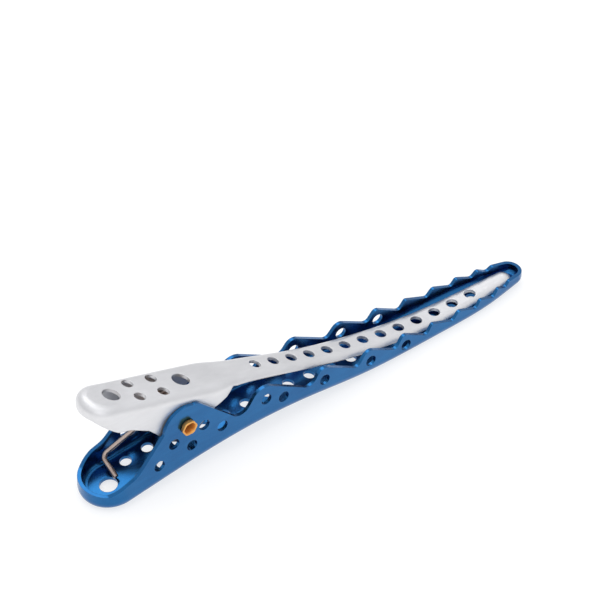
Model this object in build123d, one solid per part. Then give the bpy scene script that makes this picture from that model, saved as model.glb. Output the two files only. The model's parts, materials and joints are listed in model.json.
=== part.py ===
from build123d import *
from math import atan2, cos, degrees, sin
import os

# Sectioning clip: two pressed aluminium jaws, a tubular rivet and a torsion spring.
# Lengths are millimetres.  +X runs from the handles to the nose, +Z is up.  The clip
# lies closed on the back of its outer jaw.  Everything is drawn with the rivet at X = 0
# and moved at the end so that the origin is under the middle of the clip.

# ---- sheet metal -------------------------------------------------------------------
SHEET = 0.8           # thickness of both pressings
SMALL_HOLE = 2.5      # diameter of the rows of lightening holes
LARGE_HOLE = 3.8      # diameter of the end holes and of the holes near the rivet
DRAFT = 2.5           # the outer jaw's walls lean inward by this many degrees

# ---- rivet -------------------------------------------------------------------------
PIN_Z = 13.6          # height of the rivet's axis
PIN_D = 3.1           # outside diameter of the rivet tube
PIN_BORE = 2.1        # hollow through the rivet
PIN_CLEARANCE = 0.04  # radial running clearance of the inner jaw on the rivet
PIN_HALF = 7.05       # half the rivet's length over its rolled ends
COLLAR_D = 3.3        # the swelled tube outside each ear
COLLAR_Y = 6.26       # where it begins
LIP_D = 3.6           # rolled edge of each end
LIP_LENGTH = 0.35

# ---- outer jaw ---------------------------------------------------------------------
OUTER_BEND = 1.9      # outside radius of the bend between back and walls
OUTER_TAIL_R = 6.86   # round end of the handle, in plan
OUTER_TAIL_X = -14.88
OUTER_NOSE_R = 3.0    # round nose, in plan
OUTER_NOSE_X = 87.9
OUTER_SIDE = [(14, 6.52), (44, 5.96), (68, 5.1), (80, 4.4)]   # half width, 2 mm under the floor
BACK = [(-24, -0.62), (-10, 1.27), (4, 2.93), (17, 3.52), (30, 2.79),
        (44, 0.96), (61, 0.05), (75, -0.02), (94, 0.35)]   # outside of the back, X and Z

# Free edge of the walls: X, Z and rounding radius of each corner.
OUTER_EDGE = [
    (-26, 3.8, 0), (-18.6, 4.0, 2.5), (-15.4, 5.75, 2.5), (-12.4, 6.85, 4),
    (-5.6, 14.1, 0), (-3.5, 17.2, 0), (2.7, 18.4, 2),
    (13.2, 7.6, 2.6), (18.2, 13.95, 3.4),
    (30.75, 6.05, 2.1), (33.6, 10.05, 2.0),
    (42.85, 4.5, 1.2), (45.55, 7.9, 1.9),
    (53.15, 3.55, 1.2), (55.2, 6.5, 1.1),
    (61.55, 2.75, 0.9), (63.1, 5.0, 0.5),
    (68.8, 2.6, 0.7), (70.4, 4.45, 0.9),
    (75.3, 2.4, 0.7), (76.5, 4.1, 0.6),
    (80.45, 2.4, 0.8), (81.8, 4.0, 0.6),
    (84.2, 2.7, 0.8), (85.4, 3.7, 0.6),
    (96, 2.55, 0),
]
EAR_X, EAR_Z, EAR_R = -0.3, 13.3, 5.35   # rounded top of the hinge ear

WALL_HOLES = [(-7.23, 6.87), (-3.44, 10.61), (0.77, 7.89), (4.02, 11.53), (8.32, 8.68),
              (19.35, 9.51), (23.68, 7.70), (34.18, 6.30), (46.32, 4.48), (55.81, 3.37)]
BACK_ROW_X, BACK_ROW_PITCH, BACK_ROW_GROWTH, BACK_ROW_COUNT = 7.68, 5.33, 0.004, 15
BACK_LARGE_X = (-15.33, 2.34)
BACK_PAIR_X, BACK_PAIR_Y = (-9.33, -4.06), 2.73

# ---- inner jaw ---------------------------------------------------------------------
INNER_BEND = 1.8      # outside radius of the bend between top and walls
INNER_TAIL_R = 4.95
INNER_TAIL_X = -15.9
INNER_STRAIGHT_X = 7.5  # the handle's straight sides end here
INNER_NOSE_R = 2.3
INNER_NOSE_X = 86.0
INNER_SIDE = [(13.2, 4.15), (18, 3.72), (26, 3.45),
              (45, 3.34), (60, 3.26), (70, 3.1), (80, 2.7)]
TOP = [(-24, 29.5), (-8.4, 23.8), (2.8, 20.17), (11.5, 17.25), (20, 14.34),
       (30, 10.58), (40, 7.31), (50, 4.81), (60, 3.0), (70, 2.2), (78, 2.27), (92, 2.85)]

# Free edge of the inner jaw's walls, from the tail to the blade.
INNER_EDGE = [
    (-26, 25.2, 0), (-20.3, 24.6, 2), (-15.3, 19.95, 2), (-12.6, 19.1, 2),
    (-8.3, 16.3, 1.2), (-3.4, 10.3, 2.5), (0, 8.3, 4), (3.4, 10.2, 2.5),
    (7.2, 13.5, 2), (10.6, 14.4, 1), (12.4, 15.9, 0.6), (13.4, 15.4, 0),
]
INNER_LIP = [(13.4, 15.35), (24, 11.55), (35, 7.7), (48, 4.15), (60, 2.1), (70, 1.42),
             (78, 1.5), (96, 2.2)]
BLADE_ROW_X, BLADE_ROW_PITCH, BLADE_ROW_COUNT = 20.8, 4.85, 13
TOP_LARGE_X = (-13.55, 2.75)
TOP_PAIR_X, TOP_PAIR_Y = (-8.35, -2.85), 2.2

# ---- torsion spring ----------------------------------------------------------------
WIRE_D = 1.15
COIL_R = 3.3          # mean radius of the coil, which hangs loosely on the rivet
COIL_X, COIL_Z = 0.4, 12.7
COIL_PITCH = 1.22
COIL_START, COIL_END = -53, 5 * 360 + 70     # wire angles where the two legs leave
FOOT_BEND = 1.3       # centreline radius of the bend above each foot
# Foot on the inner jaw, foot on the outer jaw: free end, bend and a point near the coil.
UPPER_LEG = [(-15.3, 3.4, 24.35), (-15.75, -3.3, 24.7), (-3.0, -3.4, 18.4)]
LOWER_LEG = [(-13.55, -0.1, 2.35), (-13.5, 5.0, 4.25), (-5.85, 3.3, 9.45)]


def rounded_polygon(corners):
    """Face through the corners (x, y, radius), each rounded by its own radius."""
    face = make_face(Polyline([(x, y) for x, y, _ in corners], close=True)).face()
    for x, y, radius in corners:
        if radius:
            corner = face.vertices().sort_by_distance((x, y, 0))[0]
            face = face.fillet_2d(radius, [corner])
    return face


def side_block(face):
    """Prism across the clip from a face drawn in X and Z."""
    return extrude(Plane.XZ.offset(-20) * face, 40)


def plan(tail_x, tail_r, straight_x, nose_x, nose_r, side, inset=0):
    """Outline from above, moved inward by inset: round tail, sides straight as far as
    straight_x and curved beyond it, round nose."""
    tail_r, nose_r = tail_r - inset, nose_r - inset
    side = [(x, y - inset) for x, y in side]
    last_x, last_y = side[-1]
    lean = atan2(nose_r - last_y, nose_x - last_x)
    nose_start = (nose_x - nose_r * sin(lean), -nose_r * cos(lean))
    points = [(straight_x, -tail_r)] + [(x, -y) for x, y in side] + [nose_start]
    near = Spline(points, tangents=((1, 0), (cos(lean), -sin(lean)))).edges()
    if straight_x > tail_x:
        near = Line((tail_x, -tail_r), (straight_x, -tail_r)).edges() + near
    nose = ThreePointArc(nose_start, (nose_x + nose_r, 0), (nose_start[0], -nose_start[1]))
    far = [mirror(edge, Plane.XZ).edge() for edge in near]
    tail = ThreePointArc((tail_x, tail_r), (tail_x - tail_r, 0), (tail_x, -tail_r))
    return make_face(near + nose.edges() + far + tail.edges())


def region(points, drop, z_far):
    """Block on the far side (at height z_far) of a curve through the points, moved by drop."""
    curve = Spline([(x, z + drop) for x, z in points])
    first, last = curve @ 0, curve @ 1
    border = Polyline((last.X, last.Y), (last.X, z_far), (first.X, z_far), (first.X, first.Y))
    return side_block(make_face(curve.edges() + border.edges()))


def height_on(points, x):
    """Point and slope angle of the curve through the points at a given X."""
    curve = Spline(points)
    low, high = 0.0, 1.0
    for _ in range(40):
        middle = (low + high) / 2
        if (curve @ middle).X < x:
            low = middle
        else:
            high = middle
    tangent = curve % low
    return (curve @ low).Y, atan2(tangent.Y, tangent.X)


def drill(points, x, y, diameter):
    """Cutter through a curved sheet at (x, y), square to its surface."""
    z, angle = height_on(points, x)
    place = Location((x, y, z), (0, -degrees(angle), 0))
    return place * Cylinder(diameter / 2, 6)


def cross_hole(x, z, diameter):
    return Location((x, 0, z), (90, 0, 0)) * Cylinder(diameter / 2, 30)


# ---- outer jaw ---------------------------------------------------------------------
def outer_solid(inset, drop, bend):
    face = plan(OUTER_TAIL_X, OUTER_TAIL_R, OUTER_TAIL_X, OUTER_NOSE_X, OUTER_NOSE_R,
                OUTER_SIDE, inset)
    tall = extrude(Plane.XY.offset(-2) * face, 24, taper=DRAFT)
    body = tall & region(BACK, drop, 40)
    rim = body.faces().sort_by(Axis.Z)[0].edges()
    return fillet(rim, bend)


outer_jaw = outer_solid(0, 0, OUTER_BEND) - outer_solid(SHEET, SHEET, OUTER_BEND - SHEET)
edge = rounded_polygon(OUTER_EDGE + [(96, -10, 0), (-26, -10, 0)])
edge += Location((EAR_X, EAR_Z)) * Circle(EAR_R)
outer_jaw &= side_block(edge)
holes = [cross_hole(x, z, SMALL_HOLE) for x, z in WALL_HOLES]
for i in range(BACK_ROW_COUNT):
    x = BACK_ROW_X + BACK_ROW_PITCH * i + BACK_ROW_GROWTH * i * i
    holes.append(drill(BACK, x, 0, SMALL_HOLE))
for x in BACK_LARGE_X:
    holes.append(drill(BACK, x, 0, LARGE_HOLE))
for x in BACK_PAIR_X:
    for y in (-BACK_PAIR_Y, BACK_PAIR_Y):
        holes.append(drill(BACK, x, y, SMALL_HOLE))
holes.append(cross_hole(0, PIN_Z, PIN_D))
outer_jaw -= holes

# ---- inner jaw ---------------------------------------------------------------------


def inner_solid(inset, drop, bend):
    face = plan(INNER_TAIL_X, INNER_TAIL_R, INNER_STRAIGHT_X, INNER_NOSE_X, INNER_NOSE_R,
                INNER_SIDE, inset)
    tall = extrude(face, 40)
    body = tall & region(TOP, -drop, -30)
    rim = body.faces().sort_by(lambda f: f.normal_at().Z)[-1].edges()
    return fillet(rim, bend)


inner_jaw = inner_solid(0, 0, INNER_BEND) - inner_solid(SHEET, SHEET, INNER_BEND - SHEET)
ears = rounded_polygon(INNER_EDGE + [(INNER_LIP[0][0], 40, 0), (-26, 40, 0)])
lip = Spline(INNER_LIP)
above = Polyline(lip @ 1, (96, 40), (lip.position_at(0).X, 40), lip @ 0)
inner_jaw &= side_block(ears + make_face(lip.edges() + above.edges()))
holes = [cross_hole(0, PIN_Z, PIN_D + 2 * PIN_CLEARANCE)]
x = BLADE_ROW_X
for i in range(BLADE_ROW_COUNT):
    holes.append(drill(TOP, x, 0, SMALL_HOLE))
    x += BLADE_ROW_PITCH * cos(height_on(TOP, x)[1])
for x in TOP_LARGE_X:
    holes.append(drill(TOP, x, 0, LARGE_HOLE))
for x in TOP_PAIR_X:
    for y in (-TOP_PAIR_Y, TOP_PAIR_Y):
        holes.append(drill(TOP, x, y, SMALL_HOLE))
inner_jaw -= holes

# ---- rivet -------------------------------------------------------------------------
section = rounded_polygon([
    (PIN_BORE / 2, -PIN_HALF, 0), (LIP_D / 2, -PIN_HALF, 0.17),
    (LIP_D / 2, -PIN_HALF + LIP_LENGTH, 0.12), (COLLAR_D / 2, -PIN_HALF + LIP_LENGTH, 0),
    (COLLAR_D / 2, -COLLAR_Y, 0), (PIN_D / 2, -COLLAR_Y, 0),
    (PIN_D / 2, COLLAR_Y, 0), (COLLAR_D / 2, COLLAR_Y, 0),
    (COLLAR_D / 2, PIN_HALF - LIP_LENGTH, 0), (LIP_D / 2, PIN_HALF - LIP_LENGTH, 0.12),
    (LIP_D / 2, PIN_HALF, 0.17), (PIN_BORE / 2, PIN_HALF, 0),
])
pivot_rivet = Location((0, 0, PIN_Z)) * revolve(section, Axis.Y)

# ---- torsion spring ----------------------------------------------------------------
turns = (COIL_END - COIL_START) / 360
length = COIL_PITCH * turns
place = Location((COIL_X, -length / 2, COIL_Z)) * Rotation(-90, 0, 0) * Rotation(0, 0, COIL_START)
coil = place * Edge.make_helix(COIL_PITCH, length, COIL_R)
upper = FilletPolyline(UPPER_LEG, radius=FOOT_BEND)
lower = FilletPolyline(LOWER_LEG, radius=FOOT_BEND)
join_up = Spline([upper @ 1, coil @ 0], tangents=(upper % 1, coil % 0))
join_low = Spline([coil @ 1, lower @ 1], tangents=(coil % 1, -(lower % 1)))
path = Wire(upper.edges() + join_up.edges() + [coil] + join_low.edges() + lower.edges())
start = Plane(origin=upper @ 0, z_dir=upper % 0)
torsion_spring = sweep(start * Circle(WIRE_D / 2), path)

# ---- shared frame: origin on the floor under the middle of the clip ----------------
nodes = {
    "outer_jaw": outer_jaw,
    "inner_jaw": inner_jaw,
    "pivot_rivet": pivot_rivet,
    "torsion_spring": torsion_spring,
}
bounds = Compound(list(nodes.values())).bounding_box(optimal=True)
middle = (bounds.min.X + bounds.max.X) / 2
os.makedirs("parts", exist_ok=True)
for name, shape in nodes.items():
    export_step(Location((-middle, 0, -bounds.min.Z)) * shape.solid(), f"parts/{name}.step")
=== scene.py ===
import json
from math import cos, pi, radians, sin

import bpy
from mathutils import Matrix, Vector

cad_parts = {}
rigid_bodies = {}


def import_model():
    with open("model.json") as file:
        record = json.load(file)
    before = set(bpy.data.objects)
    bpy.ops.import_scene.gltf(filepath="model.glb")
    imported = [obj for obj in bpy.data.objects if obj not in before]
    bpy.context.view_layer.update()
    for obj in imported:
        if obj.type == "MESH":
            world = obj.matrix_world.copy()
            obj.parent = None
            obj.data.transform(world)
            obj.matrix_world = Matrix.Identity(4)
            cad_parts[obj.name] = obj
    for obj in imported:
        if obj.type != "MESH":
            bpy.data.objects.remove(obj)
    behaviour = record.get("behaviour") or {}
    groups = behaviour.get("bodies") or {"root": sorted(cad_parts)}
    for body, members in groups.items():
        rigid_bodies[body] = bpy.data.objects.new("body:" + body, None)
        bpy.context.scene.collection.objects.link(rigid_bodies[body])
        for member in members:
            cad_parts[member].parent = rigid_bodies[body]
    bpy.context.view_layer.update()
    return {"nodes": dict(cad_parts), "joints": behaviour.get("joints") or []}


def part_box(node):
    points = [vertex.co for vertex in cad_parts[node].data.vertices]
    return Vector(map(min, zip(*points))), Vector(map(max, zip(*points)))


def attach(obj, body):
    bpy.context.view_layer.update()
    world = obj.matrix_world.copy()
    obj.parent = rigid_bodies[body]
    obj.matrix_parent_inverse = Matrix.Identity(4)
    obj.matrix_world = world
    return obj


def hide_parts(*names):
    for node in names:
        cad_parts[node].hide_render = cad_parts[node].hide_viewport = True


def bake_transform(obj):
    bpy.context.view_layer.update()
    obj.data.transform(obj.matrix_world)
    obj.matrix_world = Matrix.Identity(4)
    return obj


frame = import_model()

# A sectioning clip: an anodised outer jaw, a bare aluminium inner jaw, a brass rivet and a
# steel torsion spring.  Lengths are metres; mm() turns the millimetres of the design into
# them.  The clip lies on the back of its outer jaw, with its handles towards -X.


def mm(*values):
    scaled = [v / 1000 for v in values]
    return scaled[0] if len(scaled) == 1 else Vector(scaled)


HINGE = frame["joints"][0]
PIVOT = Vector(HINGE["pos_m"])            # middle of the rivet
OUTER, INNER = HINGE["parent"], HINGE["child"]
RIVET_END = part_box("pivot_rivet")[1].y    # how far the rivet reaches across the clip

# ---- camera ------------------------------------------------------------------------
AIM = mm(7.4, 13.25, 10.0)
AZIMUTH, ELEVATION, ROLL = 36.64, 43.02, -0.15   # degrees
DISTANCE = mm(616.5)
LENS = 177.2                                     # for a sensor 36 wide

# ---- sheet metal -------------------------------------------------------------------
EDGE_RADIUS = mm(0.12)                # outer jaw, rivet and wire
SOFT_EDGE_RADIUS = mm(0.25)           # inner jaw, tumbled longer

# ---- rivet -------------------------------------------------------------------------
PIN_R, BORE_R = mm(1.55), mm(1.05)
COLLAR_R = mm(1.68)
COLLAR_LENGTH = mm(0.79)
LIP_R, LIP_LENGTH = mm(1.8), mm(0.35)
LOBES, LOBE_DEPTH = 6, mm(0.16)

# ---- torsion spring ----------------------------------------------------------------
WIRE_R = mm(0.575)
COIL_R = mm(3.3)
COIL_PITCH = mm(1.22)
COIL_CENTRE = PIVOT + mm(0.4, 0, -0.9)
COIL_START, COIL_END = radians(-53), radians(5 * 360 + 70)
COIL_OVERLAP = radians(8)
FOOT_BEND = mm(1.3)
# Each leg's free end, bend and a point near the coil, from the middle of the rivet.
UPPER_LEG = [PIVOT + mm(-15.3, 3.4, 10.75), PIVOT + mm(-15.75, -3.3, 11.1),
             PIVOT + mm(-3.0, -3.4, 4.8)]
LOWER_LEG = [PIVOT + mm(-13.55, -0.1, -11.25), PIVOT + mm(-13.5, 5.0, -9.35),
             PIVOT + mm(-5.85, 3.3, -4.15)]


# ---- mesh helpers ------------------------------------------------------------------
def add_mesh(name, vertices, faces):
    mesh = bpy.data.meshes.new(name)
    mesh.from_pydata([tuple(v) for v in vertices], [], faces)
    mesh.validate()
    mesh.shade_smooth()
    piece = bpy.data.objects.new(name, mesh)
    bpy.context.scene.collection.objects.link(piece)
    return piece


def ring_faces(rings, sides):
    """Quads between successive rings of points, and a cap on each end."""
    faces = []
    for i in range(rings - 1):
        for k in range(sides):
            j = (k + 1) % sides
            faces.append((i * sides + k, i * sides + j, (i + 1) * sides + j, (i + 1) * sides + k))
    faces.append(tuple(reversed(range(sides))))
    faces.append(tuple((rings - 1) * sides + k for k in range(sides)))
    return faces


def tube(name, path, radius, sides=28, chamfer_start=False):
    """Round wire along the path; a chamfered start is slightly narrower at its cut face."""
    tangents = []
    for i in range(len(path)):
        tangents.append((path[min(i + 1, len(path) - 1)] - path[max(i - 1, 0)]).normalized())
    side = tangents[0].orthogonal().normalized()
    stations = []
    for point, tangent in zip(path, tangents):
        side = (side - tangent * side.dot(tangent)).normalized()
        stations.append((point, tangent, side, radius))
    if chamfer_start:
        cut = radius * 0.22
        point, tangent, side, _ = stations[0]
        stations[0] = (point + tangent * cut, tangent, side, radius)
        stations.insert(0, (point, tangent, side, radius - cut))
    vertices = []
    for point, tangent, side, r in stations:
        up = tangent.cross(side)
        for k in range(sides):
            angle = 2 * pi * k / sides
            vertices.append(point + (side * cos(angle) + up * sin(angle)) * r)
    piece = add_mesh(name, vertices, ring_faces(len(stations), sides))
    for face in piece.data.polygons[-2:]:
        face.use_smooth = False
    return piece


def line(start, end, step=mm(0.25)):
    count = max(2, round((end - start).length / step))
    return [start.lerp(end, i / count) for i in range(count)]


def foot(free_end, bend, coil_side):
    """Straight foot, round bend and straight leg, from the free end."""
    back, onward = (free_end - bend).normalized(), (coil_side - bend).normalized()
    half = back.angle(onward) / 2
    reach = FOOT_BEND / sin(half) * cos(half)
    centre = bend + (back + onward).normalized() * (FOOT_BEND / sin(half))
    first, last = bend + back * reach, bend + onward * reach
    arm = first - centre
    axis = arm.cross(last - centre).normalized()
    sweep = arm.angle(last - centre)
    arc = [centre + Matrix.Rotation(sweep * i / 14, 3, axis) @ arm for i in range(14)]
    return line(free_end, first) + arc + line(last, coil_side)


def joined(start, start_way, end, end_way, count=20):
    """Smooth curve between two points, leaving and arriving along the given directions."""
    reach = (end - start).length
    points = []
    for i in range(count):
        t = i / count
        points.append(start * (2 * t**3 - 3 * t**2 + 1) + start_way * reach * (t**3 - 2 * t**2 + t)
                      + end * (3 * t**2 - 2 * t**3) + end_way * reach * (t**3 - t**2))
    return points


COIL_LENGTH = COIL_PITCH * (COIL_END - COIL_START) / (2 * pi)


def coil_point(angle):
    along = COIL_PITCH * (angle - COIL_START) / (2 * pi) - COIL_LENGTH / 2
    return COIL_CENTRE + Vector((COIL_R * cos(angle), along, -COIL_R * sin(angle)))


def coil_way(angle):
    return (coil_point(angle + 0.01) - coil_point(angle - 0.01)).normalized()


def turns(start, end, step=radians(7)):
    count = round((end - start) / step)
    return [coil_point(start + (end - start) * i / count) for i in range(count + 1)]


# ---- pieces ------------------------------------------------------------------------
def make_leg(name, corners, coil_angle, overlap):
    leg = foot(*corners)
    way = (corners[2] - corners[1]).normalized()
    on_coil = coil_way(coil_angle) * (1 if overlap > 0 else -1)
    path = leg + joined(corners[2], way, coil_point(coil_angle), on_coil)
    path += turns(coil_angle, coil_angle + overlap, overlap / 3)
    return tube(name, path, WIRE_R, chamfer_start=True)


def make_rivet():
    """Tube with a swelled collar and a rolled, slightly lobed lip at each end."""
    half = RIVET_END - PIVOT.y
    collar = half - COLLAR_LENGTH
    # Section from the middle of the bore to the middle of the outside: along, radius, lobes.
    section = [(0, BORE_R, 0), (half - mm(1.6), BORE_R, 0), (half - mm(1.0), BORE_R + mm(0.05), 0),
               (half - mm(0.5), BORE_R + mm(0.16), 0.15), (half - mm(0.2), BORE_R + mm(0.27), 0.4),
               (half - mm(0.05), BORE_R + mm(0.38), 0.6), (half, LIP_R - mm(0.26), 0.8),
               (half - mm(0.05), LIP_R - mm(0.1), 1), (half - mm(0.14), LIP_R - mm(0.02), 1),
               (half - mm(0.25), LIP_R - mm(0.03), 1), (half - LIP_LENGTH, COLLAR_R, 0.7),
               (collar + mm(0.1), COLLAR_R, 0.1), (collar, COLLAR_R - mm(0.05), 0),
               (collar, PIN_R, 0), (0, PIN_R, 0)]
    ring = section + [(-y, r, lobe) for y, r, lobe in reversed(section[1:-1])]
    sides = 96
    vertices = []
    for y, r, lobe in ring:
        for k in range(sides):
            angle = 2 * pi * k / sides
            radius = r - LOBE_DEPTH * lobe * (0.5 - 0.5 * cos(LOBES * angle))
            vertices.append(PIVOT + Vector((radius * cos(angle), y, radius * sin(angle))))
    faces = []
    for i in range(len(ring)):
        for k in range(sides):
            j, n = (k + 1) % sides, (i + 1) % len(ring)
            faces.append((i * sides + k, n * sides + k, n * sides + j, i * sides + j))
    return add_mesh("rivet_brass", vertices, faces)


upper_leg = make_leg("spring_leg_upper", UPPER_LEG, COIL_START, COIL_OVERLAP)
lower_leg = make_leg("spring_leg_lower", LOWER_LEG, COIL_END, -COIL_OVERLAP)
coil = tube("spring_coil", turns(COIL_START, COIL_END), WIRE_R)
rivet = make_rivet()


# ---- materials ---------------------------------------------------------------------
def new_material(name):
    material = bpy.data.materials.new(name)
    material.use_nodes = True
    tree = material.node_tree
    return material, tree, tree.nodes["Principled BSDF"]


def add(tree, kind, inputs=None, **settings):
    """New node; inputs maps socket names to values or to the socket they are linked from."""
    node = tree.nodes.new(kind)
    for key, value in settings.items():
        setattr(node, key, value)
    for key, value in (inputs or {}).items():
        if isinstance(value, bpy.types.NodeSocket):
            tree.links.new(value, node.inputs[key])
        else:
            node.inputs[key].default_value = value
    return node


def noise(tree, place, scale, detail=4.0, roughness=0.55, stretch=(1, 1, 1)):
    """Noise value with `scale` features in a metre, stretched by a factor on each axis."""
    mapped = add(tree, "ShaderNodeMapping", {"Vector": place, "Scale": stretch})
    return add(tree, "ShaderNodeTexNoise", {"Vector": mapped.outputs[0], "Scale": scale,
                                            "Detail": detail, "Roughness": roughness}).outputs["Fac"]


def ramp(tree, value, stops):
    """Colour ramp through (position, colour) stops."""
    node = add(tree, "ShaderNodeValToRGB", {"Fac": value})
    points = node.color_ramp.elements
    while len(points) < len(stops):
        points.new(0.5)
    for point, (position, colour) in zip(points, stops):
        point.position = position
        point.color = (*colour, 1)
    return node.outputs["Color"]


def spread(tree, value, low, high):
    """Value from 0.3..0.7 spread over low..high."""
    return add(tree, "ShaderNodeMapRange", {"Value": value, "From Min": 0.3, "From Max": 0.7,
                                            "To Min": low, "To Max": high}).outputs["Result"]


def bump(tree, layers, edge_radius):
    """Normal from (height socket, distance in mm, strength) layers, over softened edges."""
    normal = add(tree, "ShaderNodeBevel", {"Radius": edge_radius}, samples=6).outputs["Normal"]
    for height, distance, strength in layers:
        inputs = {"Height": height, "Distance": mm(distance), "Strength": strength, "Normal": normal}
        normal = add(tree, "ShaderNodeBump", inputs).outputs["Normal"]
    return normal


def metal(name, dark, light, roughness, grain_scale, grain_depth, streak, coat=0.0, metallic=1.0,
          edge_radius=EDGE_RADIUS):
    """Satin metal: mottled colour, fine tumbled grain, faint drawing streaks, uneven gloss."""
    material, tree, shader = new_material(name)
    place = add(tree, "ShaderNodeTexCoord").outputs["Object"]
    mottle = noise(tree, place, 90, 5)
    grain = noise(tree, place, grain_scale, 3, 0.6)
    streaks = noise(tree, place, 900, 3, 0.5, stretch=streak)
    mixed = add(tree, "ShaderNodeMix", {0: 0.35, 2: mottle, 3: streaks}, data_type="FLOAT").outputs[0]
    colour = ramp(tree, mixed, [(0.32, dark), (0.68, light)])
    tree.links.new(colour, shader.inputs["Base Color"])
    low, high = roughness
    tree.links.new(spread(tree, mottle, low, high), shader.inputs["Roughness"])
    normal = bump(tree, [(mottle, 0.02, 0.25), (streaks, 0.006, 0.25), (grain, grain_depth, 0.5)],
                  edge_radius)
    tree.links.new(normal, shader.inputs["Normal"])
    shader.inputs["Metallic"].default_value = metallic
    shader.inputs["Coat Weight"].default_value = coat
    shader.inputs["Coat Roughness"].default_value = 0.3
    return material


BLUE = metal("anodised_blue", (0.003, 0.092, 0.27), (0.008, 0.135, 0.355), (0.19, 0.27),
             4800, 0.016, (0.2, 1, 1), coat=0.4)
SILVER = metal("satin_aluminium", (0.68, 0.68, 0.695), (0.77, 0.77, 0.785), (0.36, 0.47),
               3600, 0.045, (0.15, 1, 1), metallic=0.85, edge_radius=SOFT_EDGE_RADIUS)
BRASS = metal("brass", (0.66, 0.28, 0.06), (0.92, 0.50, 0.14), (0.26, 0.40), 2600, 0.008, (1, 0.2, 1),
              metallic=0.6)
STEEL = metal("spring_steel", (0.36, 0.28, 0.25), (0.60, 0.49, 0.43), (0.26, 0.40),
              3200, 0.008, (1, 1, 1))


def finish_with(piece, material):
    piece.data.materials.clear()
    piece.data.materials.append(material)


finish_with(rivet, BRASS)
for piece in (upper_leg, lower_leg, coil):
    finish_with(piece, STEEL)
for node, material in (("outer_jaw", BLUE), ("inner_jaw", SILVER)):
    jaw = frame["nodes"][node]
    for i in range(len(jaw.material_slots)):
        jaw.material_slots[i].material = material

# ---- what each piece rides on ------------------------------------------------------
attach(rivet, OUTER)
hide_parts("pivot_rivet")
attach(upper_leg, INNER)
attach(lower_leg, OUTER)
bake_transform(coil)
for piece in (upper_leg, lower_leg, coil):
    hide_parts("torsion_spring")

# ---- floor, light and camera -------------------------------------------------------
corners = ((-900, -900), (900, -900), (900, 900), (-900, 900))
floor = add_mesh("floor", [mm(x, y, 0) for x, y in corners], [(0, 1, 2, 3)])
floor_material, tree, shader = new_material("white_card")
shader.inputs["Base Color"].default_value = (0.40, 0.40, 0.40, 1)
shader.inputs["Emission Color"].default_value = (1, 1, 1, 1)
shader.inputs["Emission Strength"].default_value = 0.68
shader.inputs["Roughness"].default_value = 0.9
shader.inputs["Specular IOR Level"].default_value = 0.1
floor.data.materials.append(floor_material)

world = bpy.data.worlds.new("studio")
world.use_nodes = True
# The studio is brighter overhead than at the horizon.
sky = world.node_tree
way = add(sky, "ShaderNodeTexCoord").outputs["Generated"]
height = add(sky, "ShaderNodeSeparateXYZ", {"Vector": way}).outputs["Z"]
glow = ramp(sky, height, [(0.0, (0.66, 0.665, 0.68)), (0.25, (0.72, 0.725, 0.74)),
                          (0.65, (0.92, 0.925, 0.94))])
sky.links.new(glow, sky.nodes["Background"].inputs["Color"])
bpy.context.scene.world = world
bpy.context.scene.view_settings.view_transform = "Standard"


def softbox(name, place, size, power, target=mm(0, 0, 10)):
    light = bpy.data.lights.new(name, "AREA")
    light.shape = "RECTANGLE"
    light.size = size[0]
    light.size_y = size[1]
    light.energy = power
    lamp = bpy.data.objects.new(name, light)
    lamp.location = place
    lamp.rotation_euler = (target - place).to_track_quat("-Z", "Y").to_euler()
    bpy.context.scene.collection.objects.link(lamp)


softbox("light_top", mm(-40, -20, 540), (0.45, 0.4), 0.34)
softbox("light_front", mm(-260, -420, 300), (0.4, 0.3), 0.25)
softbox("light_back", mm(90, 325, 430), (0.3, 0.26), 0.36)

camera_data = bpy.data.cameras.new("camera")
camera_data.lens = LENS
camera_data.sensor_width = 36
camera_data.clip_start, camera_data.clip_end = 0.01, 10
camera = bpy.data.objects.new("camera", camera_data)
heading, tilt = radians(AZIMUTH), radians(ELEVATION)
forward = Vector((sin(heading) * cos(tilt), cos(heading) * cos(tilt), -sin(tilt)))
level = forward.to_track_quat("-Z", "Y").to_matrix().to_4x4()
turn = Matrix.Rotation(radians(ROLL), 4, forward) @ level
camera.matrix_world = Matrix.Translation(AIM - forward * DISTANCE) @ turn
bpy.context.scene.collection.objects.link(camera)
bpy.context.scene.camera = camera
